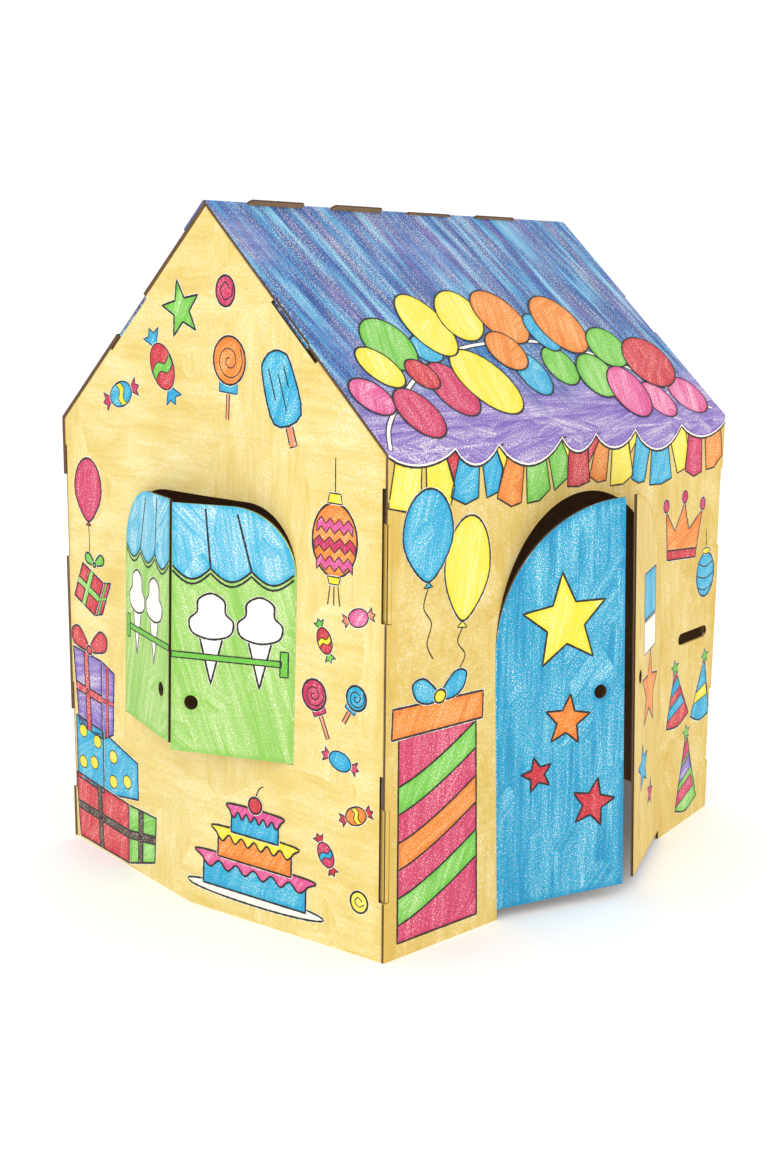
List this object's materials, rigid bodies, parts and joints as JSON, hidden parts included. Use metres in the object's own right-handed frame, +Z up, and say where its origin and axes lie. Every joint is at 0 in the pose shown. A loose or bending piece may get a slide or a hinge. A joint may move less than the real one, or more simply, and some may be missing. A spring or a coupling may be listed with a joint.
{
  "type": "cardboard fort",
  "caption": "Card playhouse of folded corrugated sheets locked by hooked tabs, with an arched double door, a letter slot and shuttered windows.",
  "frame": {"origin": "on the floor, midway between the gables and under the ridge, at the centre of the walls' footprint", "axes": "+X to the right as the front wall is faced, +Y from the front wall to the back wall, +Z up"},
  "size_m": [1.165, 0.9494, 1.2062],
  "materials": {
    "crayoned_front": "matte liner coloured with wax crayon",
    "crayoned_back": "matte liner coloured with wax crayon",
    "crayoned_gable": "matte liner coloured with wax crayon",
    "crayoned_door_left": "matte liner coloured with wax crayon",
    "crayoned_door_right": "matte liner coloured with wax crayon",
    "crayoned_shutter": "matte liner coloured with wax crayon"
  },
  "bodies": {
    "house": {"front_sheet": "crayoned_front", "back_sheet": "crayoned_back", "left_gable_sheet": "crayoned_gable", "right_gable_sheet": "crayoned_gable"},
    "door_left": {"door_leaf_left": "crayoned_door_left"},
    "door_right": {"door_leaf_right": "crayoned_door_right"},
    "left_shutter_front": {"left_shutter_front": "crayoned_shutter"},
    "left_shutter_back": {"left_shutter_back": "crayoned_shutter"},
    "right_shutter_front": {"right_shutter_front": "crayoned_shutter"},
    "right_shutter_back": {"right_shutter_back": "crayoned_shutter"}
  },
  "joints": [
    {"name": "door_left_crease", "type": "hinge", "parent": "house", "child": "door_left", "pos_m": [-0.245, -0.43937, 0.01699], "axis": [0, -0.0368, -0.9993], "range_deg": [-23, 147]},
    {"name": "door_right_crease", "type": "hinge", "parent": "house", "child": "door_right", "pos_m": [0.269, -0.43937, 0.01699], "axis": [0, 0.0368, 0.9993], "range_deg": [-22, 148]},
    {"name": "left_shutter_front_crease", "type": "hinge", "parent": "house", "child": "left_shutter_front", "pos_m": [-0.51611, -0.22, 0.293], "axis": [0.0307, 0, 0.9995], "range_deg": [-22.5, 147.5]},
    {"name": "left_shutter_back_crease", "type": "hinge", "parent": "house", "child": "left_shutter_back", "pos_m": [-0.51611, 0.22, 0.293], "axis": [-0.0307, 0, -0.9995], "range_deg": [-16, 154]},
    {"name": "right_shutter_front_crease", "type": "hinge", "parent": "house", "child": "right_shutter_front", "pos_m": [0.51611, -0.22, 0.293], "axis": [0.0307, 0, -0.9995], "range_deg": [0, 170]},
    {"name": "right_shutter_back_crease", "type": "hinge", "parent": "house", "child": "right_shutter_back", "pos_m": [0.51611, 0.22, 0.293], "axis": [-0.0307, 0, 0.9995], "range_deg": [0, 170]}
  ]
}
